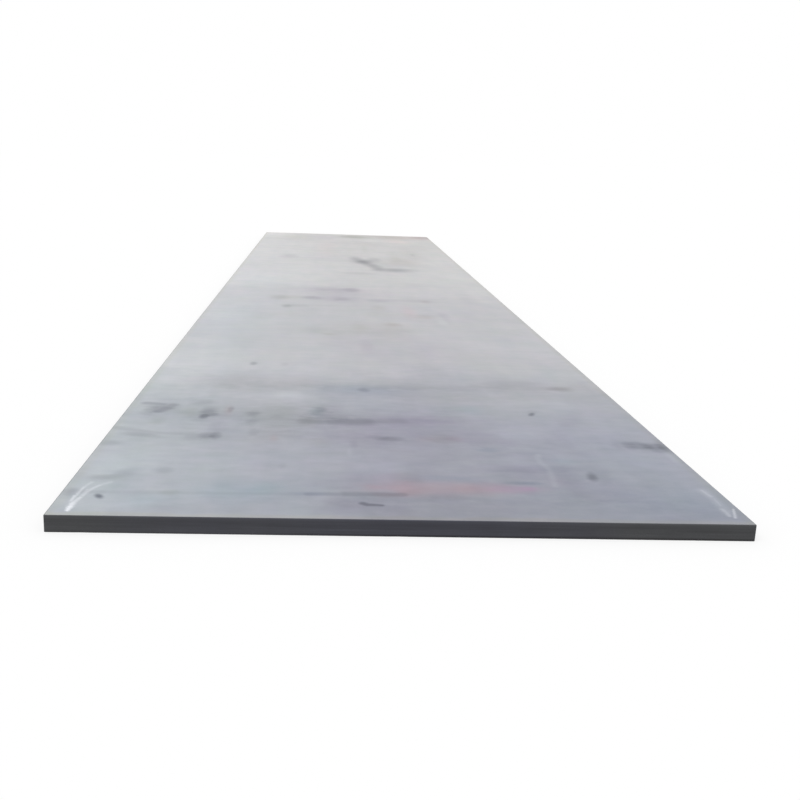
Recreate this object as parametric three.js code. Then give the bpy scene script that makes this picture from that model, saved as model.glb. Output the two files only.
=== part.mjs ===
// A heavy rolled steel plate, lying flat: one solid, trimmed to a rectangle by torch on all four sides.
//
// Millimetres, +Z up. The length runs along Y and the width along X. The origin is on the underside,
// at its middle, so the plate stands on the plane Z = 0.

import * as THREE from 'three';

// Stock sizes.
const LENGTH = 10000;
const WIDTH = 2000;
const THICKNESS = 50;

// The torch melts the upper edge over into a small round and leaves the lower edge crisper.
const TOP_ARRIS_RADIUS = 2.5;
const BOTTOM_ARRIS_RADIUS = 1.2;

// Plan radius at the four corners of the flat upper face, inside its melted edge.
const FLAT_CORNER_RADIUS = 1.5;

// Facets in a quarter turn.
const ARRIS_FACETS = 8;
const CORNER_FACETS = 8;

const QUARTER_TURN = Math.PI / 2;

// Points along a path whose arcs are all quarter turns. A path gives an arc twice the divisions it
// is asked for, so the number of facets is halved here.
function quarterArcPoints(path, facets) {
  return path.getPoints(facets / 2);
}

// The cut edge in section, from the rim of the upper face down to the rim of the underside. X is how
// far a point lies inside the vertical cut face, and Y is its height.
function edgeSection() {
  const section = new THREE.Path();
  section.absarc(
    TOP_ARRIS_RADIUS,
    THICKNESS - TOP_ARRIS_RADIUS,
    TOP_ARRIS_RADIUS,
    QUARTER_TURN,
    2 * QUARTER_TURN,
  );
  section.absarc(
    BOTTOM_ARRIS_RADIUS,
    BOTTOM_ARRIS_RADIUS,
    BOTTOM_ARRIS_RADIUS,
    2 * QUARTER_TURN,
    3 * QUARTER_TURN,
  );
  return quarterArcPoints(section, ARRIS_FACETS);
}

// The plate's outline in plan, drawn inset from the cut faces: four arcs about the same four centres,
// joined by straight sides. Every outline has as many points as every other, in the same order.
function planOutline(inset) {
  const faceCornerRadius = FLAT_CORNER_RADIUS + TOP_ARRIS_RADIUS;
  const centreX = WIDTH / 2 - faceCornerRadius;
  const centreY = LENGTH / 2 - faceCornerRadius;
  const centres = [
    [centreX, -centreY],
    [centreX, centreY],
    [-centreX, centreY],
    [-centreX, -centreY],
  ];
  const outline = new THREE.Path();
  centres.forEach(([x, y], corner) => {
    const start = (corner - 1) * QUARTER_TURN;
    outline.absarc(x, y, faceCornerRadius - inset, start, start + QUARTER_TURN);
  });
  return quarterArcPoints(outline, CORNER_FACETS);
}

// Carries the edge section round the outline, as a skin of one ring for each point of the section,
// and closes it with the upper face and the underside.
function plateGeometry() {
  const rings = edgeSection().map(({ x: inset, y: height }) =>
    planOutline(inset).map((point) => new THREE.Vector3(point.x, point.y, height)),
  );
  const around = rings[0].length;
  const lastRing = (rings.length - 1) * around;

  const faces = [];
  for (let ring = 0; ring < rings.length - 1; ring += 1) {
    for (let step = 0; step < around; step += 1) {
      const upper = ring * around + step;
      const upperNext = ring * around + ((step + 1) % around);
      const lower = upper + around;
      const lowerNext = upperNext + around;
      faces.push(upper, lower, lowerNext);
      faces.push(upper, lowerNext, upperNext);
    }
  }
  const flat = (ring) => ring.map((point) => new THREE.Vector2(point.x, point.y));
  for (const [a, b, c] of THREE.ShapeUtils.triangulateShape(flat(rings[0]), [])) {
    faces.push(a, b, c);
  }
  for (const [a, b, c] of THREE.ShapeUtils.triangulateShape(flat(rings.at(-1)), [])) {
    faces.push(lastRing + a, lastRing + c, lastRing + b);
  }

  const geometry = new THREE.BufferGeometry().setFromPoints(rings.flat());
  geometry.setIndex(faces);
  geometry.computeVertexNormals();
  return geometry;
}

const millScale = new THREE.MeshStandardMaterial({
  name: 'mill_scale',
  color: 0xb4b5b9,
  roughness: 0.5,
  metalness: 0.35,
});

const steelPlate = new THREE.Mesh(plateGeometry(), millScale);
steelPlate.name = 'steel_plate';

const part = new THREE.Group();
part.name = 'steel plate';
part.add(steelPlate);

export default part;
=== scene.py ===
# Some shade, reflection and highlights are painted into the colours of both.
# The finish of a heavy rolled steel plate: pale mill scale with smudges, stains and chalk on its two
# rolled faces, and dark torch-cut edges with ripples and drag lines.
#
# Metres, in the frame of the imported model: X across the width, Y along the length, Z up.

import math
from itertools import chain

import bpy
from mathutils import Matrix, Vector


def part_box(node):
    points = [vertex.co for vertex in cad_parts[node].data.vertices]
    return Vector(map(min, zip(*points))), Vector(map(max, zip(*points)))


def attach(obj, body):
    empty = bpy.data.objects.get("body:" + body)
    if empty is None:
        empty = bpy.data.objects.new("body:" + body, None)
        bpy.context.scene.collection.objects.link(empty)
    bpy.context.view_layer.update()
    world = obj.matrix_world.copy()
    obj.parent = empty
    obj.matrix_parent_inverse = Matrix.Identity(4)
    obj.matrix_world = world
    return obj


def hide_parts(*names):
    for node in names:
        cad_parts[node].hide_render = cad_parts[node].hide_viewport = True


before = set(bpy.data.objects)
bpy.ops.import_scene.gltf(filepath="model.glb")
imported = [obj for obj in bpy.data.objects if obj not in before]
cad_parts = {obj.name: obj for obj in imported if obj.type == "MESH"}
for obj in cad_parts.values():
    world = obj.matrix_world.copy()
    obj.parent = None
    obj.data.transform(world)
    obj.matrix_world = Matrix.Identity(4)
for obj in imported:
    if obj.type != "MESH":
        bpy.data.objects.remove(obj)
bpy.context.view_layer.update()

PLATE_LOW, PLATE_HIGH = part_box("steel_plate")
WIDTH = PLATE_HIGH.x - PLATE_LOW.x
LENGTH = PLATE_HIGH.y - PLATE_LOW.y
THICKNESS = PLATE_HIGH.z - PLATE_LOW.z

MM = 0.001

# Radii left by the torch, seen in section, and the plan radius of the four vertical corners.
TOP_ARRIS = 2.5 * MM
BOTTOM_ARRIS = 1.2 * MM
PLAN_CORNER = 4.0 * MM

# The corner arcs' centres are this far from the middle of the plate.
CORNER_X = WIDTH / 2 - PLAN_CORNER
CORNER_Y = LENGTH / 2 - PLAN_CORNER


# ---------------------------------------------------------------- short ways to write node trees

class Nodes:
    """Adds nodes to one tree and joins them. A value may be a number, a vector or a socket."""

    PER_ROW = 14
    STEP = (190, -320)

    def __init__(self, tree):
        self.tree = tree

    def add(self, kind, inputs=None, **settings):
        node = self.tree.nodes.new(kind)
        row, column = divmod(len(self.tree.nodes), self.PER_ROW)
        node.location = (column * self.STEP[0], row * self.STEP[1])
        for name, value in settings.items():
            setattr(node, name, value)
        for name, value in (inputs or {}).items():
            self.feed(node.inputs[name], value)
        return node

    def feed(self, socket, value):
        if isinstance(value, bpy.types.NodeSocket):
            self.tree.links.new(value, socket)
        else:
            socket.default_value = value

    def math(self, operation, *values, clamp=False):
        inputs = dict(enumerate(values))
        return self.add("ShaderNodeMath", inputs, operation=operation, use_clamp=clamp).outputs[0]

    def times(self, *values):
        product = values[0]
        for value in values[1:]:
            product = self.math("MULTIPLY", product, value)
        return product

    def centred(self, share):
        """A share of 0 to 1 as a swing of -0.5 to 0.5."""
        return self.math("SUBTRACT", share, 0.5)

    def vector(self, operation, *values):
        node = self.add("ShaderNodeVectorMath", dict(enumerate(values)), operation=operation)
        gives_value = operation in ("LENGTH", "DOT_PRODUCT", "DISTANCE")
        return node.outputs["Value" if gives_value else "Vector"]

    def scaled(self, vector, factor):
        inputs = {0: vector, "Scale": factor}
        return self.add("ShaderNodeVectorMath", inputs, operation="SCALE").outputs["Vector"]

    def combine(self, x=0.0, y=0.0, z=0.0):
        return self.add("ShaderNodeCombineXYZ", {0: x, 1: y, 2: z}).outputs[0]

    def separate(self, vector):
        return self.add("ShaderNodeSeparateXYZ", {0: vector}).outputs

    def noise(self, point, scale=1.0, detail=2.0, roughness=0.5, **settings):
        inputs = {"Vector": point, "Scale": scale, "Detail": detail, "Roughness": roughness}
        return self.add("ShaderNodeTexNoise", inputs, **settings).outputs

    def ramp(self, value, low, high, to_low=0.0, to_high=1.0, smooth=True):
        inputs = {"Value": value, "From Min": low, "From Max": high, "To Min": to_low, "To Max": to_high}
        kind = "SMOOTHSTEP" if smooth else "LINEAR"
        node = self.add("ShaderNodeMapRange", inputs, interpolation_type=kind, clamp=True)
        return node.outputs["Result"]

    def mix(self, factor, under, over, blend="MIX"):
        node = self.add("ShaderNodeMix", data_type="RGBA", blend_type=blend)
        self.feed(node.inputs["Factor"], factor)
        colours = [socket for socket in node.inputs if socket.type == "RGBA"]
        self.feed(colours[0], under)
        self.feed(colours[1], over)
        return [socket for socket in node.outputs if socket.type == "RGBA"][0]

    def group(self, tree, **inputs):
        """Places a shared effect. Input names are written with _ for a space."""
        node = self.add("ShaderNodeGroup", node_tree=tree)
        for name, value in inputs.items():
            self.feed(node.inputs[name.replace("_", " ")], value)
        return node.outputs


def emptied(owner):
    """The nodes of a material or a world, cleared to be filled anew."""
    owner.use_nodes = True
    owner.node_tree.nodes.clear()
    return Nodes(owner.node_tree)


def new_effect(name, inputs, outputs):
    """A shader node group with named sockets, its nodes, its inputs and a way to set its outputs."""
    tree = bpy.data.node_groups.new(name, "ShaderNodeTree")
    for socket, kind in inputs.items():
        tree.interface.new_socket(socket, in_out="INPUT", socket_type=kind)
    for socket, kind in outputs.items():
        tree.interface.new_socket(socket, in_out="OUTPUT", socket_type=kind)
    nodes = Nodes(tree)
    given = nodes.add("NodeGroupInput").outputs
    result = nodes.add("NodeGroupOutput").inputs
    return tree, nodes, given, result


# ---------------------------------------------------------------- effects that the materials share

VALUE = "NodeSocketFloat"
VECTOR = "NodeSocketVector"
COLOUR = "NodeSocketColor"

# How far a mark is carried aside where it crosses an earlier one.
SLIP = 0.5 * MM


def patchiness_effect():
    """Soft patches of any size and shape: a tone round 1, and a tint round white for their hue."""
    tree, nodes, given, result = new_effect(
        "patchiness",
        {"Point": VECTOR, "Patch Size": VECTOR, "Contrast": VALUE, "Hue Contrast": VALUE},
        {"Tone": VALUE, "Tint": COLOUR},
    )
    scaled = nodes.vector("DIVIDE", given["Point"], given["Patch Size"])
    noise = nodes.noise(scaled, detail=3.0)
    swing = nodes.centred(noise["Fac"])
    nodes.feed(result["Tone"], nodes.math("MULTIPLY_ADD", swing, given["Contrast"], 1.0))
    hue_swing = nodes.vector("SUBTRACT", noise["Color"], (0.5, 0.5, 0.5))
    hue_swing = nodes.scaled(hue_swing, given["Hue Contrast"])
    nodes.feed(result["Tint"], nodes.vector("ADD", hue_swing, (1.0, 1.0, 1.0)))
    return tree


def grain_effect():
    """Fine grain of scale: a tone round 1 and a height in metres."""
    tree, nodes, given, result = new_effect(
        "fine grain",
        {"Point": VECTOR, "Grain Size": VALUE, "Contrast": VALUE, "Depth": VALUE},
        {"Tone": VALUE, "Height": VALUE},
    )
    scale = nodes.math("DIVIDE", 1.0, given["Grain Size"])
    noise = nodes.noise(given["Point"], scale=scale, detail=2.0, roughness=0.6)
    swing = nodes.centred(noise["Fac"])
    nodes.feed(result["Tone"], nodes.math("MULTIPLY_ADD", swing, given["Contrast"], 1.0))
    nodes.feed(result["Height"], nodes.times(swing, given["Depth"]))
    return tree


def stain_effect(name, turn):
    """One oval stain, added to the mask of the stains before it. Most lie square to the plate, and
    are worked out faster without the turn."""
    tree, nodes, given, result = new_effect(
        name,
        {
            "Under": VALUE, "Point": VECTOR, "Breakup": VALUE, "Softness": VALUE, "Centre": VECTOR,
            "Half Size": VECTOR, "Strength": VALUE, **turn,
        },
        {"Mask": VALUE},
    )
    from_centre = nodes.vector("SUBTRACT", slipped_point(nodes, given), given["Centre"])
    if turn:
        inputs = {"Vector": from_centre, "Angle": given["Turn"]}
        turned = nodes.add("ShaderNodeVectorRotate", inputs, rotation_type="Z_AXIS", invert=True)
        from_centre = turned.outputs["Vector"]
    reach = nodes.vector("LENGTH", nodes.vector("DIVIDE", from_centre, given["Half Size"]))
    nodes.feed(result["Mask"], nodes.math("ADD", given["Under"], fading(nodes, given, reach)))
    return tree


def stroke_effect():
    """One straight stroke with rounded ends, laid over the mask of the marks before it. Where two
    cross, the stronger one shows."""
    tree, nodes, given, result = new_effect(
        "stroke",
        {
            "Under": VALUE, "Point": VECTOR, "Breakup": VALUE, "Softness": VALUE, "Start": VECTOR,
            "End": VECTOR, "Start Half Width": VALUE, "End Half Width": VALUE, "Strength": VALUE,
        },
        {"Mask": VALUE},
    )
    from_start = nodes.vector("SUBTRACT", slipped_point(nodes, given), given["Start"])
    whole = nodes.vector("SUBTRACT", given["End"], given["Start"])
    along = nodes.vector("DOT_PRODUCT", from_start, whole)
    length_squared = nodes.vector("DOT_PRODUCT", whole, whole)
    share = nodes.math("DIVIDE", along, length_squared, clamp=True)
    off_axis = nodes.vector("LENGTH", nodes.vector("SUBTRACT", from_start, nodes.scaled(whole, share)))
    taper = nodes.math("SUBTRACT", given["End Half Width"], given["Start Half Width"])
    half_width = nodes.math("MULTIPLY_ADD", share, taper, given["Start Half Width"])
    reach = nodes.math("DIVIDE", off_axis, half_width)
    nodes.feed(result["Mask"], nodes.math("MAXIMUM", given["Under"], fading(nodes, given, reach)))
    return tree


def slipped_point(nodes, given):
    """The point, moved a hair by the marks before. It also makes the renderer work the marks out one
    after another, since it has no room to hold all of them at once."""
    return nodes.vector("MULTIPLY_ADD", given["Under"], (SLIP, SLIP, 0.0), given["Point"])


def fading(nodes, given, reach):
    """The strength inside a mark and 0 outside it, halfway at its stated size give or take the breakup."""
    outer = nodes.math("ADD", 1.0, given["Softness"])
    inner = nodes.math("SUBTRACT", 1.0, given["Softness"])
    return nodes.ramp(nodes.math("ADD", reach, given["Breakup"]), outer, inner, 0.0, given["Strength"])


PATCHINESS = patchiness_effect()
GRAIN = grain_effect()
STAIN = stain_effect("oval stain", {})
TURNED_STAIN = stain_effect("turned stain", {"Turn": VALUE})
STROKE = stroke_effect()


# ---------------------------------------------------------------- marks on the upper face

# Lengths are in millimetres here, measured from the middle of the plate, and strengths in percent.
#
# A stain is an oval: x, y, its size across and along the plate, its strength, and its turn in degrees
# if it has one. The size is measured where the stain has half its strength.
#
# A stroke is its points in turn, each x, y and the width there, and its strength.

# How each kind of mark multiplies the colour under it at full strength.
TINTS = {
    "soot": (0.36, 0.37, 0.41, 1.0),
    "violet": (0.72, 0.66, 0.77, 1.0),
    "blue": (0.66, 0.76, 0.86, 1.0),
    "teal": (0.78, 0.95, 0.94, 1.0),
    "olive": (0.76, 0.77, 0.68, 1.0),
    "brown": (0.74, 0.66, 0.60, 1.0),
    "pink": (1.20, 0.85, 0.83, 1.0),
    "magenta": (1.20, 0.85, 1.04, 1.0),
    "pale": (1.30, 1.30, 1.27, 1.0),
}

STAINS = {
    "blue": [
        # the bluer right side of the near part, and its small patches
        (820, -4620, 700, 1300, 30), (850, -4830, 280, 220, 22), (140, -4630, 220, 60, 32),
        (390, -4658, 100, 35, 45), (334, -4302, 70, 50, 38), (-260, -4790, 90, 40, 35),
        # a blue-grey patch where the dark near part ends
        (-90, -3420, 340, 160, 42), (-110, -3600, 340, 400, 14),
        # further in
        (800, -3060, 100, 500, 18, -15), (750, -2170, 100, 300, 20), (-310, 2080, 400, 500, 8),
    ],
    "teal": [
        (-730, -4860, 160, 100, 30), (-490, -4790, 260, 160, 42), (-410, -4740, 100, 100, 30),
        (-900, -4620, 160, 400, 14), (580, -4420, 70, 70, 32), (-270, -3820, 50, 140, 38),
        (345, -3739, 90, 120, 42), (-780, -1830, 360, 1900, 20), (-690, 160, 300, 800, 18),
    ],
    "violet": [
        # the violet field in the middle of the near part
        (110, -4450, 800, 1300, 26), (20, -4040, 600, 360, 36), (110, -3940, 260, 130, 32),
        (-120, -4660, 200, 180, 20), (-170, -4880, 140, 100, 34), (350, -4150, 240, 160, 30),
        (-140, -4170, 300, 120, 16),
        # patches on either side of it
        (550, -4650, 60, 200, 30), (690, -4780, 100, 160, 12), (440, -4520, 320, 100, 28),
        (700, -3930, 70, 280, 22, -23), (610, -4110, 120, 200, 18), (820, -4090, 140, 180, 13),
        (-630, -4060, 60, 200, 28), (-196, -3742, 70, 140, 24),
        # the middle of the plate
        (90, -2600, 600, 900, 16), (270, -2740, 120, 500, 16), (-20, -2420, 60, 340, 26),
        (510, -1360, 50, 300, 24), (-340, -650, 120, 150, 40), (-140, -700, 240, 220, 34),
        (130, -710, 160, 140, 24), (350, -690, 280, 140, 20), (-130, -420, 560, 600, 32),
        (-200, -210, 400, 240, 34), (-60, -200, 120, 200, 24), (770, -560, 120, 450, 12),
        # the far end
        (-290, 4470, 360, 600, 20), (920, 4910, 200, 500, 50),
    ],
    "olive": [
        (-902, -4669, 100, 50, 24), (-690, -4800, 50, 50, 38), (-860, -3990, 50, 140, 30),
        (-950, -4780, 220, 500, 12), (-760, -3860, 70, 120, 28), (-410, -3920, 160, 360, 34),
        (-300, -3970, 70, 120, 40), (-250, -4240, 70, 100, 25), (-220, -2090, 70, 60, 40),
        (-160, -1920, 220, 440, 24), (-40, -1860, 90, 360, 24), (-470, -1420, 160, 220, 14),
        (-560, -670, 140, 200, 40), (-450, -640, 160, 160, 24), (110, -1310, 160, 200, 18),
        (110, -1050, 90, 190, 36), (710, 600, 500, 1100, 5), (420, 2390, 100, 800, 24),
        (150, 3070, 60, 600, 16), (210, 3670, 220, 450, 18), (-610, 4430, 320, 600, 34),
        (90, 4660, 300, 400, 50), (-20, -4950, 140, 80, 20),
    ],
    "brown": [
        (-430, -3350, 400, 240, 15), (800, -3330, 120, 60, 24), (20, -4620, 100, 100, 22),
        (-57, -4790, 60, 45, 30), (190, -4170, 100, 100, 32), (-430, -4180, 140, 160, 20),
        (130, -1910, 280, 440, 20), (160, -1710, 90, 120, 36), (390, -1390, 100, 150, 32),
        (450, -710, 60, 160, 30), (590, 2560, 200, 1600, 12), (450, 1890, 240, 600, 26),
        (530, 4760, 440, 500, 50), (900, 4890, 200, 500, 50),
    ],
    "pink": [
        # a paint mark drawn across the near end, fading to the left
        (108, -4724, 380, 120, 44), (220, -4728, 280, 110, 16), (20, -4775, 90, 70, 24),
        (8, -4720, 120, 90, 24), (209, -4724, 80, 80, 20), (-90, -4730, 50, 60, 26),
        (-30, -4650, 180, 100, 12),
        # traces of paint elsewhere
        (-610, -3830, 30, 130, 28, 4), (-415, -4203, 24, 70, 26), (130, -4180, 70, 50, 14),
        (239, -4172, 50, 60, 16), (299, -1224, 80, 460, 24), (570, 4160, 240, 500, 22),
        (820, 4700, 340, 500, 16), (-250, 3080, 180, 1600, 10),
    ],
    "magenta": [
        (345, -4718, 170, 70, 48), (395, -4714, 50, 40, 40), (501, -4637, 60, 100, 14),
    ],
    "pale": [
        (-840, 4740, 360, 600, 26), (-210, 4880, 600, 220, 12), (-870, -4920, 240, 90, 26),
        (-960, -4740, 130, 100, 26), (-930, -4860, 220, 200, 10), (-970, -4840, 160, 300, 14),
        (-460, 1070, 700, 1200, 8), (840, 1110, 440, 2200, 12), (-380, -3550, 120, 120, 38),
        (-430, -3630, 260, 260, 18), (-150, -4360, 14, 90, 28), (390, -4430, 100, 100, 20),
        (-246, -4830, 35, 140, 22), (974, -4362, 30, 140, 45), (450, -4110, 70, 140, 20),
        (410, -4070, 260, 170, 34), (120, -3990, 240, 120, 16), (-120, -3270, 120, 220, 18),
        (-330, -4320, 80, 120, 18), (-780, -4360, 160, 160, 34), (-880, -4470, 220, 160, 32),
        (-320, -4940, 160, 160, 50), (-40, -4550, 150, 120, 38), (-770, -4910, 70, 120, 26),
        (-850, -1500, 220, 700, 20), (790, -4040, 280, 140, 30), (-780, -3760, 100, 140, 22),
        (0, -3570, 120, 100, 20), (410, -4120, 200, 100, 18), (-910, -4610, 100, 180, 22),
        (480, -4480, 80, 80, 22), (850, -4390, 120, 140, 20), (510, -4930, 140, 80, 22),
        (50, -4910, 80, 100, 22), (330, -3040, 200, 100, 18), (730, -3650, 120, 240, 20, -15),
        (476, -1588, 50, 180, 30), (270, 4180, 240, 300, 30), (570, 4180, 300, 400, 30),
    ],
}

SOOT = [
    # beside the near-left corner
    (-885, -4839, 21, 42, 100, 25), (-971, -4802, 34, 60, 36), (-907, -4668, 80, 45, 20),
    (-856, -4629, 55, 60, 20), (-740, -4593, 55, 65, 24, 25),
    # spots on the line across the near end, and faint grey beyond it
    (-218, -4792, 28, 22, 36), (-52, -4790, 80, 30, 16), (8, -4845, 300, 160, 10),
    (88, -4930, 1900, 170, 13), (-132, -4900, 260, 120, 7), (-680, -4900, 70, 130, 12),
    (-63, -4827, 180, 50, 10), (190, -4824, 1100, 60, 7), (575, -4771, 150, 110, 12),
    (-207, -4504, 140, 60, 9), (-435, -4539, 100, 120, 9), (552, -4708, 400, 180, 10),
    (108, -4309, 380, 240, 8), (138, -4799, 140, 60, 15), (390, -4658, 110, 30, 20),
    (410, -4527, 140, 60, 16), (552, -4501, 120, 50, 12), (480, -4600, 260, 90, 8),
    # row across the plate, most of a metre in
    (-971, -4298, 80, 60, 22), (-883, -4188, 150, 55, 26, -18), (-622, -4184, 34, 82, 44),
    (-654, -4186, 48, 76, 48), (-701, -4196, 60, 100, 18), (-494, -4135, 35, 80, 20),
    (0, -4187, 76, 55, 42), (-44, -4166, 70, 50, 22), (-132, -4261, 25, 90, 14),
    (-370, -4522, 25, 50, 14), (824, -4220, 56, 80, 22), (630, -4581, 30, 80, 66, -8),
    (660, -4590, 60, 90, 10), (862, -4215, 40, 78, 46), (600, -4250, 180, 130, 9),
    (905, -4216, 60, 84, 52), (950, -4232, 60, 96, 60), (986, -4218, 40, 130, 48),
    # larger rubs further in
    (-694, -3924, 31, 56, 62), (-608, -3828, 600, 400, 20), (-360, -3900, 340, 270, 12),
    (-588, -4225, 460, 320, 13), (-902, -4327, 300, 280, 8), (-681, -3856, 60, 130, 52),
    (-655, -3898, 36, 50, 18), (-731, -3914, 60, 90, 13), (-690, -3970, 60, 80, 14),
    (-650, -4230, 120, 80, 11), (-460, -3690, 320, 150, 8), (-696, -3550, 60, 120, 10),
    (243, -3875, 200, 60, 8), (574, -3953, 100, 100, 8), (220, -3580, 440, 420, 8),
    (-721, -3700, 90, 70, 22), (-868, -3800, 100, 120, 38), (-904, -3870, 60, 130, 24),
    (-509, -3985, 40, 90, 18), (-509, -3866, 50, 80, 30), (-603, -3810, 20, 80, 30),
    (-614, -3860, 60, 120, 14), (-533, -3905, 80, 230, 10), (-137, -3957, 150, 85, 42),
    (-258, -3793, 50, 120, 28, -12), (-264, -3728, 100, 70, 16), (-277, -3915, 120, 70, 11),
    (-225, -3885, 130, 190, 26), (-130, -3908, 170, 80, 15), (589, -3793, 21, 52, 72, -22),
    (595, -3770, 36, 90, 16, -18),
    # the far border of the dark near part
    (-70, -3425, 45, 75, 36), (209, -3475, 800, 200, 9), (-440, -3280, 600, 320, 10),
    (-62, -3360, 500, 120, 12), (-519, -3389, 120, 90, 9), (-450, -3380, 280, 120, 7),
    (-560, -3460, 380, 110, 10), (90, -3240, 240, 120, 10), (-667, -3412, 100, 90, 8),
    (289, -3353, 500, 110, 14), (630, -3290, 320, 200, 20), (816, -3332, 100, 90, 30),
    (917, -3270, 100, 140, 12), (-670, -3290, 320, 200, 16), (-580, -2930, 30, 70, 46),
    (-430, -2930, 36, 70, 14),
    # faint rubs along the middle and the far half
    (-310, -1960, 120, 240, 10), (-500, -1080, 55, 140, 30), (-440, -1050, 150, 110, 18),
    (-330, -1010, 340, 90, 8), (-560, -670, 110, 170, 16), (-340, -650, 115, 130, 20),
    (-130, -690, 100, 150, 20), (110, -720, 120, 130, 12), (340, -690, 280, 130, 8),
    (-50, -200, 100, 190, 20), (-230, -200, 180, 130, 14), (40, 870, 270, 200, 16),
    (210, 2020, 110, 450, 26), (-610, 2150, 150, 340, 20), (70, 4650, 300, 300, 26),
    (630, 2620, 45, 180, 16),
]

DRAGGED_SOOT = [
    # a line across the near end, heavier towards its end, and the hook beside it
    ([(-1000, -4803, 30), (-883, -4802, 30)], 20),
    ([(-883, -4802, 28), (-270, -4796, 28)], 12),
    ([(-282, -4794, 28), (-172, -4790, 38)], 36),
    ([(-172, -4788, 42), (-2, -4788, 40)], 48),
    ([(8, -4790, 30), (138, -4805, 60)], 16),
    ([(-120, -4868, 28), (-108, -4878, 28)], 90),
    ([(-108, -4878, 28), (-67, -4882, 20)], 88),
    # a faint one that leads from the left side to the row of spots
    ([(-985, -4100, 40), (-850, -4165, 44), (-690, -4174, 44)], 22),
    # a long thin drag across the plate, a metre in
    ([(-450, -3972, 60), (-331, -3963, 70)], 16),
    ([(-305, -3958, 82), (-211, -3958, 90)], 48),
    ([(-211, -3960, 84), (-80, -3957, 88)], 60),
    ([(-72, -3950, 70), (48, -3934, 70)], 30),
    ([(48, -3932, 70), (219, -3901, 70)], 9),
    # the arc of a chain's drag beside the left side
    ([(-940, -3738, 46), (-873, -3752, 52)], 52),
    ([(-898, -3872, 44), (-878, -3858, 56)], 46),
    ([(-878, -3858, 58), (-853, -3810, 74)], 72),
    ([(-853, -3814, 66), (-836, -3758, 56)], 58),
]

# Two drags that meet near the far end, smoother than the rest.
FAR_DRAGS = [
    (70, 1870, 170, 340, 36), (100, 1800, 115, 310, 57), (30, 2120, 100, 280, 42),
    (150, 1570, 100, 280, 40), (200, 1350, 96, 400, 46), (360, 1190, 270, 250, 54),
    (240, 1520, 340, 1000, 8),
]

CHALK = [
    # a fan beside the near-left corner, pressed hardest where it starts
    ([(-944, -4962, 11), (-944, -4928, 17)], 84),
    ([(-944, -4928, 17), (-944, -4899, 15)], 68),
    ([(-944, -4899, 15), (-935, -4854, 13)], 46),
    ([(-935, -4854, 12), (-926, -4800, 12)], 30),
    ([(-926, -4800, 11), (-915, -4766, 12), (-903, -4742, 12)], 26),
    ([(-903, -4742, 12), (-889, -4724, 14), (-877, -4712, 14)], 15),
    ([(-953, -4885, 9), (-953, -4839, 10)], 46),
    ([(-950, -4839, 10), (-948, -4798, 9), (-945, -4762, 9)], 30),
    ([(-945, -4762, 10), (-933, -4715, 12)], 18),
    ([(-933, -4829, 9), (-929, -4783, 9)], 22),
    # a scuffed mark beside the near-right corner
    ([(950, -4700, 30), (957, -4800, 26), (952, -4905, 32)], 10),
    ([(949, -4701, 12), (956, -4760, 18)], 20),
    ([(959, -4780, 11), (955, -4840, 10)], 16),
    ([(948, -4873, 16), (950, -4905, 16), (946, -4930, 12)], 22),
    ([(982, -4870, 7), (971, -4905, 9), (958, -4945, 9)], 32),
    # a long faint scratch nearer the middle
    ([(504, -4344, 18), (492, -4391, 22), (492, -4437, 20)], 6.5),
    ([(492, -4437, 18), (500, -4469, 22), (504, -4523, 18)], 5.5),
    ([(504, -4523, 18), (499, -4576, 20), (486, -4686, 18)], 5.5),
]


# ---------------------------------------------------------------- materials

CHALK_COLOUR = (0.88, 0.90, 0.95, 1.0)

# Colour of the mill scale by distance from the near end, with painted light in it: bluer and darker in the
# near part, a painted shade, and paler beyond, a painted reflection of the bright surroundings.
SKIN_AND_PAINTED_LIGHT_TONES = [
    (0.00, (0.322, 0.336, 0.390)),
    (0.50, (0.338, 0.350, 0.404)),
    (1.00, (0.346, 0.357, 0.410)),
    (1.35, (0.371, 0.381, 0.428)),
    (1.60, (0.382, 0.390, 0.432)),
    (1.80, (0.420, 0.425, 0.464)),
    (1.95, (0.452, 0.457, 0.490)),
    (2.20, (0.468, 0.471, 0.497)),
    (4.20, (0.483, 0.483, 0.507)),
    (4.70, (0.507, 0.507, 0.526)),
    (5.30, (0.537, 0.537, 0.549)),
    (10.0, (0.547, 0.539, 0.5375)),
]

# How the border between the dark near part and the pale rest wanders: waves to a metre, and their swing.
BORDER_WAVES = 1.6
BORDER_SWING = 1.2

# The left side is paler and greener than the middle, and more so in the near part, which fades out
# over NEAR_PART. LEFT_SIDE is where its tint starts and where it is full, in shares of half the width.
LEFT_NEAR = (1.32, 1.37, 1.29, 1.0)
LEFT_BEYOND = (1.11, 1.12, 1.13, 1.0)
NEAR_PART = (-4.0, -2.2)
LEFT_SIDE = (-0.05, -0.98)

# A beige band runs along the two ends, partly worn skin and partly a painted highlight beside the upper
# arris, and a greyer one along the two long sides: how ragged its border is, where it starts and where it
# is full, measured from the edge, and its tint.
END_WEAR_AND_HIGHLIGHT_BAND = (40 * MM, 40 * MM, 16 * MM, (1.04, 1.01, 0.92, 1.0))
SIDE_BAND = (30 * MM, 39 * MM, 15 * MM, (0.982, 0.977, 0.938, 1.0))

# Waves to a metre of the noise that breaks up the borders of the marks, and of the finer one for chalk.
BREAKUP_WAVES = (14.0, 26.0, 14.0)
CHALK_BREAKUP_WAVES = 160.0

# Layers of patches: their size, contrast in the near part and beyond it, and contrast of hue.
PATCH_LAYERS = [
    # broad
    ((0.8, 0.9, 1.0), 0.16, 0.16, 0.03),
    # drawn out across the plate and along it
    ((0.34, 0.16, 0.3), 0.2, 0.13, 0.05),
    ((0.1, 0.42, 0.3), 0.19, 0.09, 0.05),
    # mottling
    ((0.09, 0.05, 0.05), 0.19, 0.09, 0.05),
]

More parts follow.
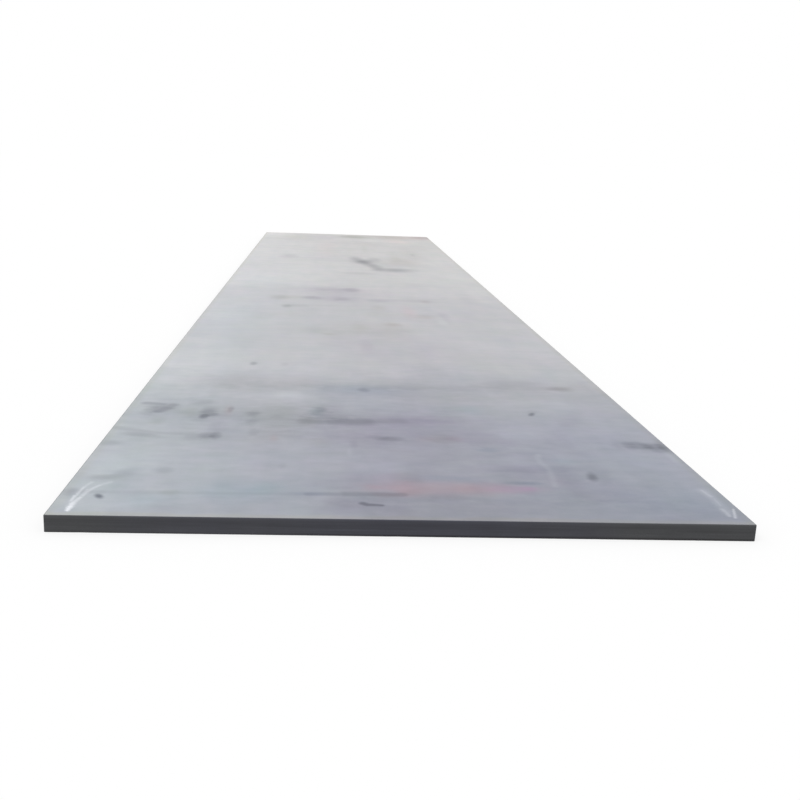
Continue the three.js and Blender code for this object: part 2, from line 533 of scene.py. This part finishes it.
# The torch-cut edge is bluest at the middle of an end and greyer towards the corners. The change lies
# between two distances from the middle, which wander: waves to a metre, and their swing.
CUT_BLUE = (0.0445, 0.0452, 0.0585, 1.0)
CUT_GREY = (0.0515, 0.0525, 0.0555, 1.0)
CUT_HUE_RANGE = (0.1, 0.95)
CUT_HUE_WAVES = 2.2
CUT_HUE_SWING = 1.2

# Tone of the torch-cut edge by share of the thickness, from the underside up: darkest at the floor, a
# painted shade where the edge meets it, and brightest under the upper arris, a painted highlight. 1 leaves
# it as it is, and the brightest is under 2.
CUT_TONES_WITH_PAINTED_LIGHT = [
    (0.0, 0.60), (0.15, 1.05), (0.30, 1.08), (0.55, 0.92),
    (0.75, 0.92), (0.90, 1.05), (0.94, 1.17), (1.0, 1.70),
]

# A dark foot along the bottom of the cut, towards the right of the plate: the heights between which it
# ends, in shares of the thickness, and the places between which it grows to its full strength, in shares
# of the width.
FOOT_HEIGHTS = (0.17, 0.10)
FOOT_PLACES = (-0.25, 0.05)
FOOT_STRENGTH = 0.45

# Fine drag lines in the cut, too shallow for the mesh: their size along the cut and down it, and depth.
DRAG_LINE_SIZE = (2.4 * MM, 1.0, 60 * MM)
DRAG_LINE_DEPTH = 0.4 * MM

SPECULAR = 0.30
SKIN_METALLIC = 0.30
SKIN_ROUGHNESS = 0.50
CUT_METALLIC = 0.0
CUT_ROUGHNESS = 0.62


def new_material(name):
    material = bpy.data.materials.new(name)
    nodes = emptied(material)
    surface = nodes.add("ShaderNodeBsdfPrincipled")
    nodes.add("ShaderNodeOutputMaterial", {"Surface": surface.outputs[0]})
    point = nodes.add("ShaderNodeTexCoord").outputs["Object"]
    return material, nodes, surface.inputs, point


def dress(nodes, surface, colour, metallic, roughness, height):
    """Joins a finished colour, roughness and height in metres to the surface."""
    nodes.feed(surface["Base Color"], colour)
    nodes.feed(surface["Metallic"], metallic)
    nodes.feed(surface["Specular IOR Level"], SPECULAR)
    nodes.feed(surface["Roughness"], roughness)
    bump = nodes.add("ShaderNodeBump", {"Height": height, "Strength": 1.0, "Distance": 1.0})
    nodes.feed(surface["Normal"], bump.outputs["Normal"])


def on_top(x, y):
    """The place in metres of a point of the upper face given in millimetres."""
    return x / 1000, y / 1000, THICKNESS


def add_stain(nodes, mask, border, x, y, across, along, percent, degrees=0):
    turn = {"Turn": math.radians(degrees)} if degrees else {}
    return nodes.group(
        TURNED_STAIN if degrees else STAIN,
        Under=mask,
        Centre=on_top(x, y),
        Half_Size=(across / 1000 / 2, along / 1000 / 2, 1.0),
        Strength=percent / 100,
        **turn,
        **border,
    )["Mask"]


def stain_mask(nodes, stains, border, mask=0.0):
    """A mask of all the stains in a list, over another mask. The border is the effect's inputs for it."""
    for stain in stains:
        mask = add_stain(nodes, mask, border, *stain)
    return nodes.math("MINIMUM", mask, 1.0)


def stroke_mask(nodes, strokes, border, mask=0.0):
    for points, percent in strokes:
        for (x, y, width), (end_x, end_y, end_width) in zip(points, points[1:]):
            mask = nodes.group(
                STROKE,
                Under=mask,
                Start=on_top(x, y),
                End=on_top(end_x, end_y),
                Start_Half_Width=width / 1000 / 2,
                End_Half_Width=end_width / 1000 / 2,
                Strength=percent / 100,
                **border,
            )["Mask"]
    return mask


def cut_tone_and_painted_light_by_height(nodes, z):
    """The tone of the cut by height, with painted shade at the floor and a painted highlight under the
    upper arris. A curve ends at 1, so it holds half of each tone.
    """
    node = nodes.add("ShaderNodeFloatCurve", {"Value": nodes.math("DIVIDE", z, THICKNESS)})
    points = node.mapping.curves[0].points
    for height, tone in CUT_TONES_WITH_PAINTED_LIGHT[1:-1]:
        points.new(height, tone / 2)
    for point, (height, tone) in zip(points, CUT_TONES_WITH_PAINTED_LIGHT):
        point.location = (height, tone / 2)
    node.mapping.update()
    return nodes.times(node.outputs["Value"], 2.0)


def skin_and_painted_light_by_length(nodes, y):
    """The base colour by distance from the near end, with painted shade in the near part and painted
    reflection beyond.
    """
    share = nodes.math("DIVIDE", nodes.math("ADD", y, LENGTH / 2), LENGTH, clamp=True)
    node = nodes.add("ShaderNodeValToRGB", {"Fac": share})
    stops = node.color_ramp.elements
    while len(stops) < len(SKIN_AND_PAINTED_LIGHT_TONES):
        stops.new(0.5)
    for stop, (distance, colour) in zip(stops, SKIN_AND_PAINTED_LIGHT_TONES):
        stop.position = distance / LENGTH
        stop.color = (*colour, 1.0)
    return node.outputs["Color"]


def rolled_skin():
    material, nodes, surface, point = new_material("rolled_skin")
    x, y, z = nodes.separate(point)
    upper = nodes.math("GREATER_THAN", z, THICKNESS / 2)

    wander = nodes.centred(nodes.noise(point, scale=BORDER_WAVES, detail=3.0)["Fac"])
    wandering_y = nodes.math("MULTIPLY_ADD", wander, BORDER_SWING, y)
    # The colour by length is the mill scale's grey with painted shade in the near part and painted
    # reflection towards the far end.
    colour = skin_and_painted_light_by_length(nodes, wandering_y)
    beyond = nodes.ramp(wandering_y, *NEAR_PART)
    left_tint = nodes.mix(beyond, LEFT_NEAR, LEFT_BEYOND)
    leftness = nodes.ramp(x, *(share * WIDTH / 2 for share in LEFT_SIDE), smooth=False)
    colour = nodes.mix(leftness, colour, left_tint, "MULTIPLY")

    stretched = nodes.vector("MULTIPLY", point, BREAKUP_WAVES)
    breakup = nodes.centred(nodes.noise(stretched, detail=4.0, roughness=0.62)["Fac"])
    fine_breakup = nodes.centred(nodes.noise(point, scale=CHALK_BREAKUP_WAVES)["Fac"])

    # The band along the ends holds a painted highlight beside the upper arris as well as wear.
    for place, size, (ragged, start, full, tint) in ((y, LENGTH, END_WEAR_AND_HIGHLIGHT_BAND), (x, WIDTH, SIDE_BAND)):
        from_edge = nodes.math("SUBTRACT", size / 2, nodes.math("ABSOLUTE", place))
        from_edge = nodes.math("MULTIPLY_ADD", breakup, ragged, from_edge)
        colour = nodes.mix(nodes.ramp(from_edge, start, full), colour, tint, "MULTIPLY")

    def border(softness, ragged, noise=breakup):
        return {"Point": point, "Breakup": nodes.times(noise, ragged), "Softness": softness}

    soft_border = border(softness=0.9, ragged=0.8)
    for kind, stains in STAINS.items():
        mask = stain_mask(nodes, stains, soft_border)
        colour = nodes.mix(nodes.times(mask, upper), colour, TINTS[kind], "MULTIPLY")

    tone = 1.0
    for size, near_contrast, contrast, hue in PATCH_LAYERS:
        strength = nodes.ramp(beyond, 0.0, 1.0, near_contrast, contrast, smooth=False)
        patches = nodes.group(
            PATCHINESS, Point=point, Patch_Size=size, Contrast=strength, Hue_Contrast=hue
        )
        tone = nodes.times(tone, patches["Tone"])
        colour = nodes.mix(1.0, colour, patches["Tint"], "MULTIPLY")
    grain = nodes.group(GRAIN, Point=point, Grain_Size=4 * MM, Contrast=0.10, Depth=0.06 * MM)
    tone = nodes.times(tone, grain["Tone"])
    colour = nodes.mix(1.0, colour, nodes.combine(tone, tone, tone), "MULTIPLY")

    soot = stain_mask(nodes, FAR_DRAGS, border(softness=0.95, ragged=0.3))
    soot = stain_mask(nodes, SOOT, border(softness=0.75, ragged=0.9), soot)
    soot = stroke_mask(nodes, DRAGGED_SOOT, border(softness=0.8, ragged=0.5), soot)
    colour = nodes.mix(nodes.times(soot, upper), colour, TINTS["soot"], "MULTIPLY")

    chalk = stroke_mask(nodes, CHALK, border(softness=0.95, ragged=1.8, noise=fine_breakup))
    colour = nodes.mix(nodes.times(chalk, upper), colour, CHALK_COLOUR)

    sheen = nodes.group(PATCHINESS, Point=point, Patch_Size=(0.30, 0.50, 0.3), Contrast=0.35)["Tone"]
    roughness = nodes.math("MULTIPLY", sheen, SKIN_ROUGHNESS, clamp=True)
    dress(nodes, surface, colour, SKIN_METALLIC, roughness, grain["Height"])
    return material


def torch_cut():
    material, nodes, surface, point = new_material("torch_cut")
    x, y, z = nodes.separate(point)
    run = nodes.math("ADD", x, y)
    along_cut = nodes.combine(run, 0.0, z)

    # Long level streaks in the scale of the cut, and patches of thicker and thinner oxide.
    streaks = nodes.group(PATCHINESS, Point=along_cut, Patch_Size=(0.30, 1.0, 5 * MM), Contrast=0.7)
    patches = nodes.group(PATCHINESS, Point=along_cut, Patch_Size=(0.12, 1.0, 0.05), Contrast=0.5)
    grain = nodes.group(GRAIN, Point=point, Grain_Size=2 * MM, Contrast=0.35, Depth=0.15 * MM)
    # The tone by height holds painted shade at the floor and a painted highlight under the upper arris.
    tone = nodes.times(streaks["Tone"], patches["Tone"], grain["Tone"], cut_tone_and_painted_light_by_height(nodes, z))
    swing = nodes.centred(nodes.noise(along_cut, scale=CUT_HUE_WAVES)["Fac"])
    from_middle = nodes.math("MULTIPLY_ADD", swing, CUT_HUE_SWING, nodes.math("ABSOLUTE", x))
    colour = nodes.mix(nodes.ramp(from_middle, *CUT_HUE_RANGE), CUT_BLUE, CUT_GREY)
    colour = nodes.mix(1.0, colour, nodes.combine(tone, tone, tone), "MULTIPLY")

    foot = nodes.ramp(z, *(share * THICKNESS for share in FOOT_HEIGHTS), 0.0, FOOT_STRENGTH)
    foot = nodes.times(foot, nodes.ramp(x, *(share * WIDTH for share in FOOT_PLACES)))
    colour = nodes.mix(foot, colour, (0.0, 0.0, 0.0, 1.0))

    roughness = nodes.math("MULTIPLY", patches["Tone"], CUT_ROUGHNESS, clamp=True)
    lines = nodes.noise(nodes.vector("DIVIDE", along_cut, DRAG_LINE_SIZE))["Fac"]
    height = nodes.math("MULTIPLY_ADD", lines, DRAG_LINE_DEPTH, grain["Height"])
    dress(nodes, surface, colour, CUT_METALLIC, roughness, height)
    return material


# ---------------------------------------------------------------- the plate's mesh

# The two rolled faces are a coarse grid, and the cut edge has this many columns to each grid cell.
CELLS_ACROSS = 40
CELLS_ALONG = 200
COLUMNS_PER_CELL = 8
CORNER_COLUMNS = 6

# Narrow strips beside the arrises keep the faces flat right up to the rounding.
SUPPORT = 0.6 * MM
TOP_ARRIS_ROWS = 4
CUT_ROWS = 6
BOTTOM_ARRIS_ROWS = 3

# The map is laid out in level rows: the two halves of the upper face, the underside, and the edge strip
# cut into EDGE_ROWS. These are their shares of its height.
UV_NAME = "OFBake"
UPPER_HALF_SHARE = 0.35
UNDERSIDE_SHARE = 0.18
EDGE_ROWS = 5
EDGE_ROW_SHARE = 0.018
UV_GAP = 0.004


def edge_section():
    """Inset from the cut face and height, from the rim of the upper face to that of the underside."""
    points = [(TOP_ARRIS + SUPPORT, THICKNESS)]
    for step in range(TOP_ARRIS_ROWS + 1):
        turn = math.radians(90 * step / TOP_ARRIS_ROWS)
        points.append((TOP_ARRIS * (1 - math.sin(turn)), THICKNESS - TOP_ARRIS * (1 - math.cos(turn))))
    top = THICKNESS - TOP_ARRIS - SUPPORT
    bottom = BOTTOM_ARRIS + SUPPORT
    for row in range(CUT_ROWS + 1):
        points.append((0.0, top + (bottom - top) * row / CUT_ROWS))
    for step in range(BOTTOM_ARRIS_ROWS + 1):
        turn = math.radians(90 * step / BOTTOM_ARRIS_ROWS)
        points.append((BOTTOM_ARRIS * (1 - math.cos(turn)), BOTTOM_ARRIS * (1 - math.sin(turn))))
    points.append((BOTTOM_ARRIS + SUPPORT, 0.0))
    return points


def rim_columns():
    """Corner centre, outward direction and nearest grid point for each column, from the near-left
    corner anticlockwise seen from above. A column's place is centre + direction x radius, for a side
    column with the centre slid along the side."""
    corners = [(-CORNER_X, -CORNER_Y), (CORNER_X, -CORNER_Y), (CORNER_X, CORNER_Y), (-CORNER_X, CORNER_Y)]
    outward = [(0, -1), (1, 0), (0, 1), (-1, 0)]
    cells = [CELLS_ACROSS, CELLS_ALONG, CELLS_ACROSS, CELLS_ALONG]
    columns = []
    ring_start = 0
    for side in range(4):
        start = Vector(corners[side])
        end = Vector(corners[(side + 1) % 4])
        count = cells[side] * COLUMNS_PER_CELL
        last = cells[side] - 2
        for step in range(count):
            near = min(max(round(step / COLUMNS_PER_CELL) - 1, 0), last)
            columns.append((start.lerp(end, step / count), Vector(outward[side]), ring_start + near))
        for step in range(CORNER_COLUMNS):
            turn = math.radians(90 * (side - 1 + step / CORNER_COLUMNS))
            columns.append((end, Vector((math.cos(turn), math.sin(turn))), ring_start + last))
        ring_start += last
    return columns


def inner_grid():
    """Places of the coarse grid inside the rim, row by row from the near end."""
    return [
        (CORNER_X * (2 * across / CELLS_ACROSS - 1), CORNER_Y * (2 * along / CELLS_ALONG - 1))
        for along in range(1, CELLS_ALONG)
        for across in range(1, CELLS_ACROSS)
    ]


def inner_ring():
    """Indices into the coarse grid round its border, anticlockwise from the near-left corner."""
    wide = CELLS_ACROSS - 1
    long = CELLS_ALONG - 1
    near = list(range(wide - 1))
    right = [along * wide + wide - 1 for along in range(long - 1)]
    far = [(long - 1) * wide + across for across in range(wide - 1, 0, -1)]
    left = [along * wide for along in range(long - 1, 0, -1)]
    return near + right + far + left


def edge_uv(column, row_length, section_share):
    row, place = divmod(column, row_length)
    base = 2 * (UPPER_HALF_SHARE + UV_GAP) + UNDERSIDE_SHARE + UV_GAP
    v = base + row * (EDGE_ROW_SHARE + UV_GAP) + section_share * EDGE_ROW_SHARE
    return place / row_length, v


def face_uv(x, y, upper, far_half):
    across = x / WIDTH + 0.5
    if not upper:
        return y / LENGTH + 0.5, 2 * (UPPER_HALF_SHARE + UV_GAP) + across * UNDERSIDE_SHARE
    along = 2 * y / LENGTH + (0 if far_half else 1)
    return along, far_half * (UPPER_HALF_SHARE + UV_GAP) + across * UPPER_HALF_SHARE


def plate_mesh():
    section = edge_section()
    columns = rim_columns()
    around = len(columns)
    vertices = []
    outward = []
    weights = []
    deepest = section[0][0]
    for inset, height in section:
        for centre, direction, _ in columns:
            place = centre + direction * (PLAN_CORNER - inset)
            vertices.append((place.x, place.y, height))
            outward.append((direction.x, direction.y, 0.0))
            weights.append(1 - inset / deepest)

    faces = []
    uvs = []
    is_cut = []

    def face(corners, corner_uvs, cut):
        faces.append(corners)
        uvs.extend(corner_uvs)
        is_cut.append(cut)

    def flat_face(corners, upper):
        far_half = sum(vertices[corner][1] for corner in corners) > 0
        turned = corners if upper else corners[::-1]
        places = [face_uv(*vertices[corner][:2], upper, far_half) for corner in turned]
        face(tuple(turned), places, False)

    # The cut edge, and the strips of rolled face just inside its arrises.
    reach = [0.0]
    for (inset_a, height_a), (inset_b, height_b) in zip(section, section[1:]):
        reach.append(reach[-1] + math.hypot(inset_b - inset_a, height_b - height_a))
    row_length = math.ceil(around / EDGE_ROWS)
    for ring in range(len(section) - 1):
        upper_share = 1 - reach[ring] / reach[-1]
        lower_share = 1 - reach[ring + 1] / reach[-1]
        cut = 0 < ring < len(section) - 2
        for column in range(around):
            following = (column + 1) % around
            a = ring * around + column
            b = ring * around + following
            u, upper_v = edge_uv(column, row_length, upper_share)
            u, lower_v = edge_uv(column, row_length, lower_share)
            next_u = u + 1 / row_length
            corner_uvs = [(u, upper_v), (u, lower_v), (next_u, lower_v), (next_u, upper_v)]
            face((a, a + around, b + around, b), corner_uvs, cut)

    # The rolled faces: a coarse grid, and fans from its border out to the fine columns of the rim.
    border = inner_ring()
    for upper in (True, False):
        height = THICKNESS if upper else 0.0
        rim_start = 0 if upper else (len(section) - 1) * around
        grid_start = len(vertices)
        for x, y in inner_grid():
            vertices.append((x, y, height))
            outward.append((0.0, 0.0, 0.0))
            weights.append(0.0)

        for column in range(around):
            following = (column + 1) % around
            inner = grid_start + border[columns[column][2] % len(border)]
            after = grid_start + border[columns[following][2] % len(border)]
            flat_face([rim_start + column, rim_start + following, inner], upper)
            if after != inner:
                flat_face([inner, rim_start + following, after], upper)
        wide = CELLS_ACROSS - 1
        for along in range(CELLS_ALONG - 2):
            for across in range(wide - 1):
                a = grid_start + along * wide + across
                flat_face([a, a + 1, a + 1 + wide, a + wide], upper)

    mesh = bpy.data.meshes.new("plate_blank")
    mesh.from_pydata(vertices, [], faces)
    layer = mesh.uv_layers.new(name=UV_NAME)
    layer.data.foreach_set("uv", list(chain.from_iterable(uvs)))
    direction = mesh.attributes.new("outward", "FLOAT_VECTOR", "POINT")
    direction.data.foreach_set("vector", list(chain.from_iterable(outward)))
    weight = mesh.attributes.new("cut_weight", "FLOAT", "POINT")
    weight.data.foreach_set("value", weights)
    cut = mesh.attributes.new("is_cut", "BOOLEAN", "FACE")
    cut.data.foreach_set("value", is_cut)
    mesh.shade_smooth()
    return mesh


# ---------------------------------------------------------------- relief of the faces and the cut

RELIEF = {
    "Ripple Depth": 0.18 * MM,
    "Ripple Pitch": 25 * MM,
    "Drag Lag": 9 * MM,
    "Wander": 30 * MM,
    "Gouge Depth": 0.7 * MM,
    "Gouge Spacing": 90 * MM,
    "Wave Height": 0.4 * MM,
    "Wave Length": 1.4,
    "Plate Thickness": THICKNESS,
}
RELIEF_SEED = 7

# How far along its noise a step of the seed moves each part of the relief.
WANDER_SEED_STEP = 3.7
GOUGE_SEED_STEP = 5.3
WAVE_SEED_STEP = 2.1

# The length over which the ripples' spacing changes.
WANDER_LENGTH = 0.15

# A gouge starts where its noise passes the first of these and is full at the second. This share of its
# depth is there at the upper arris, and it grows to the whole at the underside.
GOUGE_NOISE = (0.60, 0.80)
GOUGE_SHARE_ON_TOP = 0.3


def relief_tree():
    """Cuts ripples and gouges into the torch-cut edge and waves the upper face slightly."""
    tree = bpy.data.node_groups.new("plate relief", "GeometryNodeTree")
    tree.interface.new_socket("Geometry", in_out="INPUT", socket_type="NodeSocketGeometry")
    for name in RELIEF:
        tree.interface.new_socket(name, in_out="INPUT", socket_type=VALUE)
    tree.interface.new_socket("Seed", in_out="INPUT", socket_type="NodeSocketInt")
    tree.interface.new_socket("Skin Material", in_out="INPUT", socket_type="NodeSocketMaterial")
    tree.interface.new_socket("Cut Material", in_out="INPUT", socket_type="NodeSocketMaterial")
    tree.interface.new_socket("Geometry", in_out="OUTPUT", socket_type="NodeSocketGeometry")
    nodes = Nodes(tree)
    given = nodes.add("NodeGroupInput").outputs
    result = nodes.add("NodeGroupOutput").inputs

    def stored(name, kind):
        node = nodes.add("GeometryNodeInputNamedAttribute", {"Name": name}, data_type=kind)
        return node.outputs["Attribute"]

    def seeded_noise(run, size, seed_step):
        place = nodes.math("MULTIPLY_ADD", given["Seed"], seed_step, nodes.math("DIVIDE", run, size))
        node = nodes.add("ShaderNodeTexNoise", noise_dimensions="1D")
        nodes.feed(node.inputs["W"], place)
        nodes.feed(node.inputs["Scale"], 1.0)
        nodes.feed(node.inputs["Detail"], 1.0)
        return node.outputs["Fac"]

    position = nodes.add("GeometryNodeInputPosition").outputs[0]
    x, y, z = nodes.separate(position)
    depth = nodes.math("SUBTRACT", 1.0, nodes.math("DIVIDE", z, given["Plate Thickness"]))
    lag = nodes.times(depth, depth, given["Drag Lag"])
    run = nodes.math("ADD", nodes.math("ADD", x, y), lag)

    # Ripples lie a pitch apart, never quite evenly, and trail behind the torch towards the underside.
    wander = nodes.centred(seeded_noise(run, WANDER_LENGTH, WANDER_SEED_STEP))
    uneven_run = nodes.math("MULTIPLY_ADD", wander, given["Wander"], run)
    phase = nodes.times(nodes.math("DIVIDE", uneven_run, given["Ripple Pitch"]), math.tau)
    ripple = nodes.math("MULTIPLY_ADD", nodes.math("SINE", phase), 0.5, 0.5)
    ripple = nodes.times(ripple, given["Ripple Depth"])

    # Gouges are where the torch wavered, deepest low down.
    waver = seeded_noise(run, given["Gouge Spacing"], GOUGE_SEED_STEP)
    growth = nodes.math("MULTIPLY_ADD", depth, 1 - GOUGE_SHARE_ON_TOP, GOUGE_SHARE_ON_TOP)
    gouge = nodes.times(nodes.ramp(waver, *GOUGE_NOISE), given["Gouge Depth"], growth)

    inward = nodes.times(nodes.math("ADD", ripple, gouge), stored("cut_weight", "FLOAT"))
    push = nodes.scaled(stored("outward", "FLOAT_VECTOR"), nodes.times(inward, -1.0))

    # The upper face waves up and down by up to the wave height. The underside stays level.
    flat_point = nodes.combine(x, y, nodes.times(given["Seed"], WAVE_SEED_STEP))
    swell = nodes.noise(nodes.scaled(flat_point, nodes.math("DIVIDE", 1.0, given["Wave Length"])))["Fac"]
    whole_swing = nodes.times(given["Wave Height"], 2.0)
    height = nodes.times(nodes.centred(swell), whole_swing, nodes.math("SUBTRACT", 1.0, depth))
    offset = nodes.vector("ADD", push, nodes.combine(0.0, 0.0, height))

    moved = nodes.add("GeometryNodeSetPosition", {"Geometry": given["Geometry"], "Offset": offset})
    real = nodes.add("GeometryNodeRealizeInstances", {"Geometry": moved.outputs[0]})
    skin_inputs = {"Geometry": real.outputs[0], "Material": given["Skin Material"]}
    skin = nodes.add("GeometryNodeSetMaterial", skin_inputs)
    cut_inputs = {
        "Geometry": skin.outputs[0],
        "Selection": stored("is_cut", "BOOLEAN"),
        "Material": given["Cut Material"],
    }
    cut = nodes.add("GeometryNodeSetMaterial", cut_inputs)
    nodes.feed(result["Geometry"], cut.outputs[0])
    return tree


def steel_plate():
    blank = bpy.data.objects.new("plate_blank", plate_mesh())
    bpy.context.scene.collection.objects.link(blank)
    modifier = blank.modifiers.new("relief", "NODES")
    modifier.node_group = relief_tree()
    values = {
        **RELIEF,
        "Seed": RELIEF_SEED,
        "Skin Material": rolled_skin(),
        "Cut Material": torch_cut(),
    }
    for item in modifier.node_group.interface.items_tree:
        if item.in_out == "INPUT" and item.name in values:
            modifier[item.identifier] = values[item.name]

    evaluated = blank.evaluated_get(bpy.context.evaluated_depsgraph_get())
    mesh = bpy.data.meshes.new_from_object(evaluated)
    blank.modifiers.remove(modifier)
    bpy.data.objects.remove(blank)
    for name in ("outward", "cut_weight", "is_cut"):
        mesh.attributes.remove(mesh.attributes[name])
    mesh.name = "rolled_steel_plate"
    plate = bpy.data.objects.new("rolled_steel_plate", mesh)
    bpy.context.scene.collection.objects.link(plate)
    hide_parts("steel_plate")
    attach(plate, "root")
    return plate


# ---------------------------------------------------------------- floor, light and camera

FLOOR_SIDE = 400.0
FLOOR_DROP = 0.5 * MM

WHITE = (1.0, 1.0, 1.0, 1.0)

# The floor is seen as white, but lights the plate as this pale grey. The lift is how much of its
# whiteness doesn't depend on the light, so that its shadow stays pale.
FLOOR_GREY = (0.80, 0.80, 0.80, 1.0)
FLOOR_LIFT = 0.7

SKY_LIGHT = 0.70
KEY_LIGHT = 1.10
# The key light's apparent width in degrees, and the direction it comes from.
KEY_ANGLE = 50.0
KEY_FROM = (-0.45, -0.60, 1.30)

# Turns are in degrees here, and the lens in millimetres.
CAMERA_PLACE = (-0.2391, -7.6178, 1.0382)
CAMERA_YAW = 3.516
CAMERA_PITCH = 13.804
CAMERA_ROLL = 2.062
CAMERA_LENS = 44.945
CAMERA_SHIFT = 0.02


def seen_directly(nodes):
    """1 for rays that carry a background into the picture, 0 for those that carry its light."""
    path = nodes.add("ShaderNodeLightPath").outputs
    seen = nodes.math("MAXIMUM", path["Is Camera Ray"], path["Is Glossy Ray"])
    return nodes.math("MAXIMUM", seen, path["Is Transmission Ray"])


def add_floor():
    half = FLOOR_SIDE / 2
    mesh = bpy.data.meshes.new("floor")
    corners = [(-half, -half), (half, -half), (half, half), (-half, half)]
    mesh.from_pydata([(x, y, -FLOOR_DROP) for x, y in corners], [], [(0, 1, 2, 3)])
    material = bpy.data.materials.new("pale_floor")
    nodes = emptied(material)
    seen = seen_directly(nodes)
    paint = nodes.add("ShaderNodeBsdfDiffuse", {"Color": nodes.mix(seen, FLOOR_GREY, WHITE)})
    glow = nodes.add("ShaderNodeEmission", {"Strength": 1.0})
    lift = nodes.times(seen, FLOOR_LIFT)
    blend = nodes.add("ShaderNodeMixShader", {0: lift, 1: paint.outputs[0], 2: glow.outputs[0]})
    nodes.add("ShaderNodeOutputMaterial", {"Surface": blend.outputs[0]})
    mesh.materials.append(material)
    floor = bpy.data.objects.new("floor", mesh)
    bpy.context.scene.collection.objects.link(floor)


def add_sky():
    world = bpy.data.worlds.new("white_studio")
    nodes = emptied(world)
    strength = nodes.ramp(seen_directly(nodes), 0.0, 1.0, SKY_LIGHT, 1.0, smooth=False)
    background = nodes.add("ShaderNodeBackground", {"Color": WHITE, "Strength": strength})
    nodes.add("ShaderNodeOutputWorld", {"Surface": background.outputs[0]})
    bpy.context.scene.world = world


def add_key_light():
    light = bpy.data.lights.new("soft_key", "SUN")
    light.energy = KEY_LIGHT
    light.angle = math.radians(KEY_ANGLE)
    lamp = bpy.data.objects.new("soft_key", light)
    lamp.rotation_euler = Vector(KEY_FROM).to_track_quat("Z", "Y").to_euler()
    bpy.context.scene.collection.objects.link(lamp)


def add_camera():
    data = bpy.data.cameras.new("camera")
    data.lens = CAMERA_LENS
    data.shift_x = CAMERA_SHIFT
    data.clip_end = FLOOR_SIDE
    camera = bpy.data.objects.new("camera", data)
    yaw = Matrix.Rotation(math.radians(-CAMERA_YAW), 4, "Z")
    pitch = Matrix.Rotation(math.radians(90 - CAMERA_PITCH), 4, "X")
    roll = Matrix.Rotation(math.radians(CAMERA_ROLL), 4, "Z")
    camera.matrix_world = Matrix.Translation(CAMERA_PLACE) @ yaw @ pitch @ roll
    bpy.context.scene.collection.objects.link(camera)
    bpy.context.scene.camera = camera


bpy.context.scene.view_settings.view_transform = "Standard"
add_camera()
add_sky()
add_key_light()
add_floor()
steel_plate()
